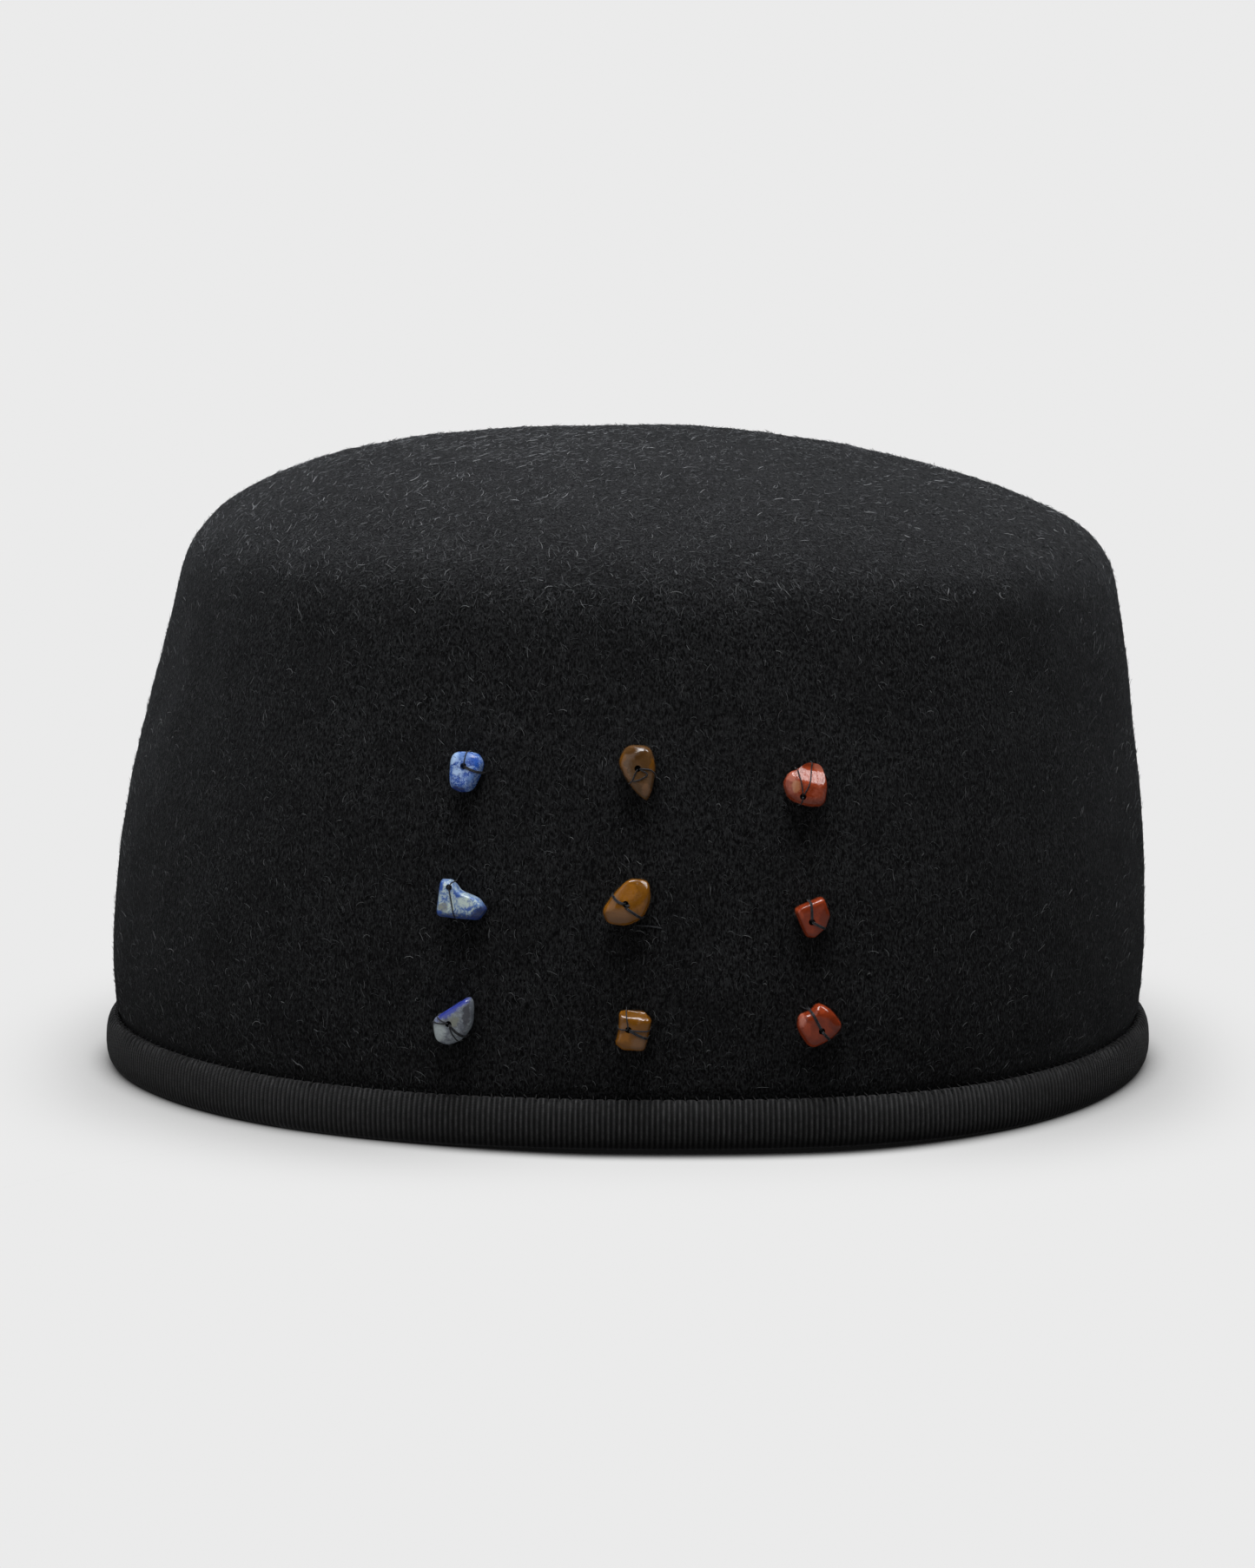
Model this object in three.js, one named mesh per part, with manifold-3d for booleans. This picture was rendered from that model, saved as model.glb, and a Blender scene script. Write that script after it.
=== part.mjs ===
// A felt cap of the pillbox kind: a one-piece hollow felt crown, a ribbed ribbon folded round its
// lower edge, and nine drilled gem chips on its left side, in three columns of three.
// Millimetres, +Z up. The front of the cap is at -X, its back at +X, and the chips are at -Y.
import * as THREE from 'three';
import { mergeVertices } from 'three/addons/utils/BufferGeometryUtils.js';
import Module from 'manifold-3d';

const wasm = await Module();
wasm.setup();

// Felt crown, outside sizes
const RIM_LENGTH = 198.4;
const RIM_WIDTH = 167;
const CAP_HEIGHT = 120.3;
const FELT_WALL = 2.4;
// The oval is widest a little behind its middle, and stands out from an ellipse by these shares.
const WIDEST_SHIFT = 9;
const FRONT_FULLNESS = 0.045;
const BACK_FULLNESS = 0.07;

// Ribbon folded round the felt's edge
const RIBBON_THICKNESS = 0.9;
const BINDING_HEIGHT = 9.4;
const BINDING_BULGE = 1.9;
const SEAT_GAP = 0.3;
const FELT_EDGE = RIBBON_THICKNESS + SEAT_GAP;

// Gem chips, sewn on in three columns and three rows
const CHIP_SIZE = 8;
const CHIP_HOLE = 1.2;
const COLUMN_PITCH = 31.5;
const ROW_PITCH = 22.8;
const MIDDLE_COLUMN = 1;
const MIDDLE_ROW_HEIGHT = 46;

// How finely the round shapes are divided
const STEPS_AROUND = 72;
const HOLE_SIDES = 10;
const FINE_FROM_SECTION = 9;

// Sections of the crown from the felt's edge to the top. The height is a share of the felt's own
// height; front and back are shares of half the rim's length, and side of half its width.
const SECTIONS = [
  { height: 0.0, front: 1.0, back: 1.0, side: 1.0 },
  { height: 0.075, front: 1.0, back: 1.0, side: 1.0 },
  { height: 0.15, front: 1.005, back: 1.007, side: 1.006 },
  { height: 0.23, front: 1.001, back: 1.009, side: 1.005 },
  { height: 0.32, front: 0.991, back: 1.006, side: 0.999 },
  { height: 0.41, front: 0.976, back: 1.0, side: 0.988 },
  { height: 0.5, front: 0.955, back: 0.989, side: 0.972 },
  { height: 0.58, front: 0.931, back: 0.978, side: 0.955 },
  { height: 0.66, front: 0.904, back: 0.966, side: 0.935 },
  { height: 0.74, front: 0.879, back: 0.952, side: 0.916 },
  { height: 0.81, front: 0.857, back: 0.93, side: 0.892 },
  { height: 0.86, front: 0.824, back: 0.875, side: 0.85 },
  { height: 0.905, front: 0.764, back: 0.757, side: 0.765 },
  { height: 0.95, front: 0.656, back: 0.577, side: 0.625 },
  { height: 0.98, front: 0.525, back: 0.385, side: 0.46 },
  { height: 0.995, front: 0.4, back: 0.24, side: 0.33 },
  { height: 1.0, front: 0.0, back: 0.0, side: 0.0 },
];

// The binding's outside from its sewn edge down to its flat underside: up is a share of the
// binding's height, and out a share of how far it stands out from the felt.
const BINDING_PROFILE = [
  { up: 1.0, out: 0.42 },
  { up: 0.84, out: 0.78 },
  { up: 0.62, out: 0.97 },
  { up: 0.4, out: 1.0 },
  { up: 0.2, out: 0.9 },
  { up: 0.06, out: 0.65 },
  { up: 0.0, out: 0.3 },
];

// A chip's section from its front face to its back: level is a share of the chip's thickness, and
// spread of its outline.
const CHIP_SECTION = [
  { level: 1.0, spread: 0.66 },
  { level: 0.86, spread: 0.89 },
  { level: 0.5, spread: 1.0 },
  { level: 0.14, spread: 0.89 },
  { level: 0.0, spread: 0.66 },
];
const CORNER_ROUNDING = 0.36;

// The chips. Columns run from front to back and rows from the bottom up. Aside and above are
// shares of the pitches, thick is a share of the chip size, and lean tilts the front face. The
// hole and the corners, which run anticlockwise as seen from outside, are shares of half the size.
const CHIPS = [
  {
    name: 'stone_blue_1', colour: 0x3f66b4, column: -1, row: 1, aside: 0.054, above: 0.013,
    thick: 0.5, lean: [0.03, -0.04], hole: [-0.04, 0.24],
    corners: [
      [-0.76, 0.9], [-0.78, -0.7], [-0.3, -0.97], [0.3, -0.9], [0.68, -0.1], [0.8, 0.45], [0.5, 0.9],
    ],
  },
  {
    name: 'stone_brown_1', colour: 0x6e4218, column: 0, row: 1, aside: 0.027, above: 0.04,
    thick: 0.54, lean: [0.02, 0.05], hole: [0.04, 0.16],
    corners: [
      [-0.5, 1.25], [-0.9, 0.45], [-0.55, -0.3], [-0.05, -0.95], [0.45, -1.36], [0.7, -0.8],
      [0.86, 0.3], [0.6, 1.2],
    ],
  },
  {
    name: 'stone_red_1', colour: 0xa8493a, column: 1, row: 1, aside: -0.016, above: -0.081,
    thick: 0.52, lean: [0.04, -0.05], hole: [-0.18, -0.47],
    corners: [
      [-0.3, 0.8], [-0.75, 0.65], [-1.05, 0.15], [-0.8, -0.6], [0.1, -0.95], [0.85, -0.95],
      [1.05, 0.0], [0.8, 0.95], [0.15, 1.1],
    ],
  },
  {
    name: 'stone_blue_2', colour: 0x6f86ad, column: -1, row: 0, aside: 0.025, above: 0,
    thick: 0.48, lean: [-0.04, 0.02], hole: [-0.5, 0.58],
    corners: [
      [-1.0, 0.92], [-1.18, -0.8], [0.1, -0.88], [0.85, -0.9], [1.2, -0.4], [0.8, 0.1],
      [-0.1, 0.42], [-0.5, 0.92],
    ],
  },
  {
    name: 'stone_brown_2', colour: 0x9a6113, column: 0, row: 0, aside: -0.032, above: 0.018,
    thick: 0.58, lean: [0.02, 0.04], hole: [-0.04, -0.06],
    corners: [
      [0.1, 1.1], [-0.65, 0.35], [-1.15, -0.4], [-0.9, -1.0], [0.0, -1.12], [0.75, -0.75],
      [1.12, 0.1], [1.0, 1.0],
    ],
  },
  {
    name: 'stone_red_2', colour: 0xa3371c, column: 1, row: 0, aside: 0.025, above: -0.118,
    thick: 0.46, lean: [0.03, 0.03], hole: [-0.07, -0.18],
    corners: [[-0.85, 0.42], [-0.28, -0.9], [0.1, -0.94], [0.62, -0.5], [0.84, 0.1], [0.52, 0.98]],
  },
  {
    name: 'stone_blue_3', colour: 0x7f8aa5, column: -1, row: -1, aside: -0.029, above: 0.026,
    thick: 0.5, lean: [-0.03, 0.05], hole: [-0.08, -0.08],
    corners: [
      [0.8, 1.22], [-0.35, 0.45], [-0.95, 0.05], [-0.8, -0.95], [-0.2, -1.16], [0.5, -0.85],
      [0.95, -0.2], [1.0, 0.9],
    ],
  },
  {
    name: 'stone_brown_3', colour: 0x8f6120, column: 0, row: -1, aside: 0.006, above: -0.013,
    thick: 0.48, lean: [0.03, -0.03], hole: [-0.22, 0.1],
    corners: [
      [-0.66, 0.92], [-0.7, 0.0], [-0.86, -0.6], [-0.5, -0.9], [0.52, -0.94], [0.72, -0.1],
      [0.84, 0.5], [0.45, 0.9],
    ],
  },
  {
    name: 'stone_red_3', colour: 0xa2402a, column: 1, row: -1, aside: 0.065, above: 0.009,
    thick: 0.52, lean: [0.04, 0.02], hole: [0.06, -0.16],
    corners: [
      [-0.4, 0.72], [-0.95, 0.55], [-1.04, -0.1], [-0.4, -1.08], [0.6, -0.6], [1.14, 0.0],
      [0.6, 0.75], [-0.02, 1.12],
    ],
  },
];

const LAST_SECTION = SECTIONS.length - 1;
const FULL_TURN = 2 * Math.PI;
const SLOPE_STEP = 0.001;
const HALVINGS = 40;

// One row of the section table; past the top it is the row before it, on the far side.
function sectionRow(column, index) {
  if (index < 0) {
    return 2 * SECTIONS[0][column] - SECTIONS[1][column];
  }
  if (index > LAST_SECTION) {
    const side = column === 'height' ? 1 : -1;
    return side * SECTIONS[2 * LAST_SECTION - index][column];
  }
  return SECTIONS[index][column];
}

// A smooth curve through one column of the section table.
function sectionShare(column, place) {
  const index = Math.max(0, Math.min(Math.floor(place), LAST_SECTION - 1));
  const u = place - index;
  const a = sectionRow(column, index - 1);
  const b = sectionRow(column, index);
  const c = sectionRow(column, index + 1);
  const d = sectionRow(column, index + 2);
  const bend = 2 * a - 5 * b + 4 * c - d;
  const twist = 3 * b - a - 3 * c + d;
  return 0.5 * (2 * b + (c - a) * u + bend * u * u + twist * u * u * u);
}

// A point of the felt's outside, at a place in the section table and an angle from the back.
function feltPoint(place, angle) {
  const height = FELT_EDGE + (CAP_HEIGHT - FELT_EDGE) * sectionShare('height', place);
  const side = (RIM_WIDTH / 2) * sectionShare('side', place);
  const widest = WIDEST_SHIFT * sectionShare('side', place);
  const along = Math.cos(angle);
  const across = Math.sin(angle);
  const toFront = along < 0;
  const end = (RIM_LENGTH / 2) * sectionShare(toFront ? 'front' : 'back', place);
  const reach = toFront ? end + widest : end - widest;
  const fullness = toFront ? FRONT_FULLNESS : BACK_FULLNESS;
  const oval = 1 + fullness * 4 * across ** 4 * along ** 2;
  return new THREE.Vector3(widest + reach * oval * along, side * oval * across, height);
}

// The felt's outward direction there.
function feltNormal(place, angle) {
  const up = feltPoint(place + SLOPE_STEP, angle).sub(feltPoint(place - SLOPE_STEP, angle));
  const around = feltPoint(place, angle + SLOPE_STEP).sub(feltPoint(place, angle - SLOPE_STEP));
  return around.cross(up).normalize();
}

function innerPoint(place, angle) {
  const point = feltPoint(place, angle).addScaledVector(feltNormal(place, angle), -FELT_WALL);
  if (place === 0) {
    point.z = FELT_EDGE;
  }
  return point;
}

// A point beside the felt's edge, so far out from the felt and so high.
function rimPoint(angle, out, height) {
  const outward = feltNormal(0, angle).setZ(0).normalize();
  return feltPoint(0, angle).addScaledVector(outward, out).setZ(height);
}

function ringOf(pointAt) {
  const ring = [];
  for (let i = 0; i < STEPS_AROUND; i += 1) {
    ring.push(pointAt((i * FULL_TURN) / STEPS_AROUND));
  }
  return ring;
}

// A closed body through rings of equal count. It ends in two poles, or else in its own first ring.
function skin(rings, firstPole, lastPole) {
  const count = rings[0].length;
  const points = rings.flat();
  const faces = [];
  const bands = firstPole ? rings.length - 1 : rings.length;
  for (let band = 0; band < bands; band += 1) {
    const near = band * count;
    const far = ((band + 1) % rings.length) * count;
    for (let i = 0; i < count; i += 1) {
      const next = (i + 1) % count;
      faces.push(near + i, far + i, far + next);
      faces.push(near + i, far + next, near + next);
    }
  }
  if (firstPole) {
    const first = points.push(firstPole) - 1;
    const last = points.push(lastPole) - 1;
    const end = (rings.length - 1) * count;
    for (let i = 0; i < count; i += 1) {
      const next = (i + 1) % count;
      faces.push(first, i, next);
      faces.push(end + i, last, end + next);
    }
  }
  const geometry = new THREE.BufferGeometry().setFromPoints(points);
  geometry.setIndex(faces);
  geometry.computeVertexNormals();
  return geometry;
}

function toSolid(geometry) {
  const bare = geometry.clone();
  bare.deleteAttribute('normal');
  bare.deleteAttribute('uv');
  const merged = mergeVertices(bare);
  const vertProperties = new Float32Array(merged.getAttribute('position').array);
  const triVerts = new Uint32Array(merged.getIndex().array);
  return new wasm.Manifold(new wasm.Mesh({ numProp: 3, vertProperties, triVerts }));
}

function toGeometry(solid) {
  const mesh = solid.getMesh();
  const geometry = new THREE.BufferGeometry();
  geometry.setAttribute('position', new THREE.BufferAttribute(mesh.vertProperties, 3));
  geometry.setIndex(new THREE.BufferAttribute(mesh.triVerts, 1));
  geometry.computeVertexNormals();
  return geometry;
}

function named(name, geometry, look) {
  const mesh = new THREE.Mesh(geometry, new THREE.MeshStandardMaterial(look));
  mesh.name = name;
  return mesh;
}

// The felt crown: its outside from the top down to the edge, then its inside up to the top again.
function crown() {
  const outside = [];
  for (let place = LAST_SECTION - 0.5; place > FINE_FROM_SECTION; place -= 0.5) {
    outside.push(ringOf((angle) => feltPoint(place, angle)));
  }
  for (let place = FINE_FROM_SECTION; place >= 0; place -= 1) {
    outside.push(ringOf((angle) => feltPoint(place, angle)));
  }
  const inside = [];
  for (let place = 0; place < LAST_SECTION; place += 1) {
    inside.push(ringOf((angle) => innerPoint(place, angle)));
  }
  const top = new THREE.Vector3(0, 0, CAP_HEIGHT);
  const ceiling = new THREE.Vector3(0, 0, CAP_HEIGHT - FELT_WALL);
  const look = { color: 0x17181b, roughness: 0.95, metalness: 0 };
  return named('crown', skin([...outside, ...inside], top, ceiling), look);
}

// The binding: a channel that holds the felt's edge, bulging alike outside and inside the cap.
function ribbonBinding() {
  const section = [];
  for (const { up, out } of BINDING_PROFILE) {
    section.push([out * BINDING_BULGE, up * BINDING_HEIGHT]);
  }
  for (const { up, out } of [...BINDING_PROFILE].reverse()) {
    section.push([-FELT_WALL - out * BINDING_BULGE, up * BINDING_HEIGHT]);
  }
  section.push([-FELT_WALL - SEAT_GAP, BINDING_HEIGHT]);
  section.push([-FELT_WALL - SEAT_GAP, RIBBON_THICKNESS]);
  section.push([SEAT_GAP, RIBBON_THICKNESS]);
  section.push([SEAT_GAP, BINDING_HEIGHT]);
  const rings = section.map(([out, height]) => ringOf((angle) => rimPoint(angle, out, height)));
  const look = { color: 0x1f1f21, roughness: 0.75, metalness: 0 };
  return named('ribbon_binding', skin(rings), look);
}

// Finds where a rising function reaches a value.
function solve(rising, target, from, to) {
  let low = from;
  let high = to;
  for (let i = 0; i < HALVINGS; i += 1) {
    const middle = (low + high) / 2;
    if (rising(middle) < target) {
      low = middle;
    } else {
      high = middle;
    }
  }
  return (low + high) / 2;
}

// A chip's outline with each corner rounded by three points.
function chipOutline(corners) {
  const outline = [];
  corners.forEach(([across, up], index) => {
    const before = corners[(index + corners.length - 1) % corners.length];
    const after = corners[(index + 1) % corners.length];
    const corner = new THREE.Vector2(across, up);
    const start = corner.clone().lerp(new THREE.Vector2(...before), CORNER_ROUNDING);
    const end = corner.clone().lerp(new THREE.Vector2(...after), CORNER_ROUNDING);
    const middle = start.clone().add(end).multiplyScalar(0.25).addScaledVector(corner, 0.5);
    outline.push(start, middle, end);
  });
  return outline.map((point) => point.multiplyScalar(CHIP_SIZE / 2));
}

// A tumbled chip, drilled through, lying flat on the felt at its place in the columns and rows.
function chip({ name, colour, column, row, aside, above, thick, lean, hole, corners }) {
  const thickness = thick * CHIP_SIZE;
  const outline = chipOutline(corners);
  const rings = CHIP_SECTION.map(({ level, spread }) => outline.map((point) => {
    const tilt = Math.max(0, 2 * level - 1) * (lean[0] * point.x + lean[1] * point.y);
    return new THREE.Vector3(point.x * spread, point.y * spread, level * thickness + tilt);
  }));
  const front = new THREE.Vector3(0, 0, thickness);
  const back = new THREE.Vector3(0, 0, 0);
  const drill = new THREE.CylinderGeometry(CHIP_HOLE / 2, CHIP_HOLE / 2, 3 * thickness, HOLE_SIDES);
  drill.rotateX(Math.PI / 2);
  drill.translate((hole[0] * CHIP_SIZE) / 2, (hole[1] * CHIP_SIZE) / 2, thickness / 2);
  const drilled = toSolid(skin(rings, front, back)).subtract(toSolid(drill));

  const x = MIDDLE_COLUMN + (column + aside) * COLUMN_PITCH;
  const height = MIDDLE_ROW_HEIGHT + (row + above) * ROW_PITCH;
  const left = 1.5 * Math.PI;
  const place = solve((t) => feltPoint(t, left).z, height, 0, LAST_SECTION);
  const angle = solve((t) => feltPoint(place, t).x, x, Math.PI, FULL_TURN);
  const outward = feltNormal(place, angle);
  const right = new THREE.Vector3(0, 0, 1).cross(outward).normalize();
  const upward = outward.clone().cross(right);
  const look = { color: colour, roughness: 0.25, metalness: 0 };
  const mesh = named(name, toGeometry(drilled), look);
  mesh.quaternion.setFromRotationMatrix(new THREE.Matrix4().makeBasis(right, upward, outward));
  mesh.position.copy(feltPoint(place, angle)).addScaledVector(outward, SEAT_GAP);
  return mesh;
}

const cap = new THREE.Group();
cap.add(crown());
cap.add(ribbonBinding());
for (const stone of CHIPS) {
  cap.add(chip(stone));
}

// The origin is the middle of the cap's box, at the level of the surface it stands on.
const bounds = new THREE.Box3().setFromObject(cap, true);
cap.position.set(
  -(bounds.min.x + bounds.max.x) / 2,
  -(bounds.min.y + bounds.max.y) / 2,
  -bounds.min.z,
);

export default cap;
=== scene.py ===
"""The looks of a black felt cap with a ribbed ribbon binding and nine gem chips sewn on its side.

Millimetres until a mesh is made, then metres; +Z up. The front of the cap is at -X and the chips
are at -Y. The forms repeat the named sizes and tables of the part's source.
"""

import math

import bmesh
import bpy
import numpy as np
from mathutils import Matrix, Vector


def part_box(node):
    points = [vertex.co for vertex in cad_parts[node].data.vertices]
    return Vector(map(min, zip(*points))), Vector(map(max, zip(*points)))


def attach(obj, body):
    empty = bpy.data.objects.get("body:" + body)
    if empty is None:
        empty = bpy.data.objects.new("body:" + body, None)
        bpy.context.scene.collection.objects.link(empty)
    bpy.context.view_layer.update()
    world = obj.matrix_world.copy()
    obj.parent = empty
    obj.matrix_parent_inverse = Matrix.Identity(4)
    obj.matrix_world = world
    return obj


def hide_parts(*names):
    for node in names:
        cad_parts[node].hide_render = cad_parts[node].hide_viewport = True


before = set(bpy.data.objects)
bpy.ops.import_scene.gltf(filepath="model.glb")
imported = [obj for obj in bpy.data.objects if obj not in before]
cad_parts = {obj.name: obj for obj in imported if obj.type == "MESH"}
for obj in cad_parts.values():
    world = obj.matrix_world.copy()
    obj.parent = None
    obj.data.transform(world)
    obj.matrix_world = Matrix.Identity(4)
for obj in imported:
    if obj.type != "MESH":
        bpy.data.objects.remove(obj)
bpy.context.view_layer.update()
scene = bpy.context.scene

MM = 0.001
FULL_TURN = 2 * math.pi
LEFT_SIDE = 0.75 * FULL_TURN
RIM_SAMPLES = 2880

# Felt crown, outside sizes
RIM_LENGTH = 198.4
RIM_WIDTH = 167.0
CAP_HEIGHT = 120.3
FELT_WALL = 2.4
WIDEST_SHIFT = 9.0
FRONT_FULLNESS = 0.045
BACK_FULLNESS = 0.07

# Ribbon folded round the felt's edge
RIBBON_THICKNESS = 0.9
BINDING_HEIGHT = 9.4
BINDING_BULGE = 1.9
SEAT_GAP = 0.3
FELT_EDGE = RIBBON_THICKNESS + SEAT_GAP

# Gem chips
CHIP_SIZE = 8.0
CHIP_HOLE = 1.2
COLUMN_PITCH = 31.5
ROW_PITCH = 22.8
MIDDLE_COLUMN = 1.0
MIDDLE_ROW_HEIGHT = 46.0
CORNER_ROUNDING = 0.36
CHIP_BEVEL = 1.0

# Sections of the crown, from the felt's edge to the top: height is a share of the felt's height,
# front and back of half the rim's length, side of half its width.
SECTION_COLUMNS = ("height", "front", "back", "side")
SECTIONS = np.array([
    (0.0, 1.0, 1.0, 1.0),
    (0.075, 1.0, 1.0, 1.0),
    (0.15, 1.005, 1.007, 1.006),
    (0.23, 1.001, 1.009, 1.005),
    (0.32, 0.991, 1.006, 0.999),
    (0.41, 0.976, 1.0, 0.988),
    (0.5, 0.955, 0.989, 0.972),
    (0.58, 0.931, 0.978, 0.955),
    (0.66, 0.904, 0.966, 0.935),
    (0.74, 0.879, 0.952, 0.916),
    (0.81, 0.857, 0.93, 0.892),
    (0.86, 0.824, 0.875, 0.85),
    (0.905, 0.764, 0.757, 0.765),
    (0.95, 0.656, 0.577, 0.625),
    (0.98, 0.525, 0.385, 0.46),
    (0.995, 0.4, 0.24, 0.33),
    (1.0, 0.0, 0.0, 0.0),
])
LAST_SECTION = len(SECTIONS) - 1

# The binding's outside, from its sewn edge to its underside: up is a share of the binding's
# height, out of its bulge, and ribs how strongly the ribs show there.
BINDING_PROFILE = [
    (1.0, 0.1, 0.2), (1.0, 0.3, 0.7), (0.97, 0.46, 1.0), (0.9, 0.66, 1.0),
    (0.8, 0.83, 1.0), (0.68, 0.94, 1.0), (0.54, 0.99, 1.0), (0.4, 1.0, 1.0),
    (0.26, 0.95, 0.9), (0.14, 0.82, 0.7), (0.05, 0.6, 0.4), (0.0, 0.3, 0.2),
]
INSIDE_PROFILE = [
    (0.0, 0.3, 0.2), (0.08, 0.68, 0.5), (0.3, 0.97, 1.0), (0.6, 0.97, 1.0),
    (0.86, 0.74, 1.0), (1.0, 0.3, 0.5),
]

# Detail of the felt's mesh, and how its edge is drawn in by the stitches, in mm of depth and height
CROWN_STEPS = 320
CROWN_RINGS = 112
CROWN_INSIDE_RINGS = 22
SEAM_PINCH = 0.75
SEAM_REACH = 1.6

# The nap: name, fibres, nodes, length, lift, curl in degrees a node, radius, lowest height, tint
NAP_LOWEST = BINDING_HEIGHT + 0.9
NAP_ON_TOP = 99.0
NAP = [
    ("nap_fine_dark", 24000, 3, (0.5, 1.3), (0.02, 0.14), 20, 0.045, NAP_LOWEST, (0.0212, 0.0221, 0.0234)),
    ("nap_fine", 27000, 3, (0.5, 1.4), (0.04, 0.25), 20, 0.04, NAP_LOWEST, (0.0455, 0.0475, 0.0495)),
    ("nap_fine_light", 20000, 3, (0.6, 1.7), (0.08, 0.65), 25, 0.033, NAP_LOWEST, (0.083, 0.0865, 0.0905)),
    ("nap_curled", 7500, 5, (1.3, 3.2), (0.1, 0.6), 22, 0.028, NAP_LOWEST, (0.075, 0.078, 0.081)),
    ("nap_top", 7500, 5, (0.8, 2.2), (0.1, 0.45), 30, 0.019, NAP_ON_TOP, (0.135, 0.14, 0.148)),
    ("nap_stray", 1700, 5, (0.9, 2.8), (0.2, 0.9), 28, 0.034, NAP_LOWEST, (0.17, 0.175, 0.18)),
]
NAP_TOP_GAIN = 0.6

# Ribbon ribs, and the stitches that hold its edge
RIB_PITCH = 1.0
RIB_HEIGHT = 0.36
STEPS_PER_RIB = 7
STITCH_PITCH = 2.1
NOTCH_DEPTH = 0.32

# Sewing threads of the chips
THREAD_NODES = 16
THREAD_RADIUS = 0.12
THREAD_LEAVES = 1.09
ROUTE_STEPS = 160

# A chip's section from the middle of its front to its rim: spread is a share of the outline, and
# level a share of the thickness. Its back mirrors it.
CHIP_SECTION = [
    (0.0, 1.0),
    (0.46, 0.998),
    (0.58, 0.99),
    (0.68, 0.972),
    (0.77, 0.94),
    (0.85, 0.895),
    (0.91, 0.835),
    (0.955, 0.755),
    (0.985, 0.65),
    (1.0, 0.5),
]
INNER_RINGS = (0.08, 0.16, 0.24, 0.32, 0.4)
CHIP_STEPS = 96
CHIP_TURNS = np.arange(CHIP_STEPS) * FULL_TURN / CHIP_STEPS
SHARP_EDGE = 50
FACET_SOFTNESS = 0.3

# Colours, linear: the felt, the ribbon and the threads, each from dark to light, and the stones
FELT_STRANDS = ((0.001, 0.001, 0.0011), (0.0228, 0.0234, 0.0243))
FELT_CLOUDS = (0.0045, 0.0046, 0.0048)
FELT_CLUMPS = ((0.0012, 0.0012, 0.0013), (0.05, 0.051, 0.053))
# Rib colours: the valley colour is painted shade between the ribs, and the crest colours paint the ribs'
# tops lighter.
RIB_VALLEY_SHADE = (0.0008, 0.0008, 0.0009)
RIB_CROSSED = (0.012, 0.012, 0.0125)
RIB_CREST_LIT = ((0.028, 0.028, 0.0283), (0.07, 0.07, 0.0705))
BLACK_THREAD = ((0.002, 0.002, 0.002), (0.008, 0.008, 0.008))
GREY_THREAD = ((0.006, 0.0064, 0.0076), (0.024, 0.0255, 0.03))
# The next colour is the blue stones' deep blue, and also painted shade along their lower edges.
BLUE_DEEP_AND_SHADE = (0.005, 0.016, 0.11)
BLUE = (0.012, 0.07, 0.35)
BLUE_VIOLET = (0.014, 0.03, 0.28)
BLUE_MILKY = (0.085, 0.17, 0.4)
# The next colour is the blue stones' white veins, and also a painted highlight on the first blue stone's
# upper left border.
BLUE_WHITE_AND_HIGHLIGHT = (0.34, 0.48, 0.7)
CREAM = (0.54, 0.64, 0.58)
YELLOW_GREY = (0.22, 0.23, 0.19)
GREY_STONE = (0.135, 0.15, 0.18)
GREY_PALE = (0.47, 0.53, 0.54)
GREY_DARK = (0.055, 0.056, 0.07)
BROWN_DARK = (0.055, 0.024, 0.006)
BROWN = (0.08, 0.039, 0.013)
BROWN_PALE = (0.165, 0.081, 0.035)
AMBER_DARK = (0.147, 0.056, 0.005)
AMBER = (0.24, 0.09, 0.007)
RED_DARK = (0.12, 0.018, 0.006)
RED = (0.18, 0.025, 0.007)
RED_BRIGHT = (0.3, 0.046, 0.014)
# The next colour is the red stones' pink veins, and also painted highlights on the left edges of the first
# and third red stones.
RED_PINK_AND_HIGHLIGHT = (0.4, 0.12, 0.075)
PEACH = (0.33, 0.14, 0.07)

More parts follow.
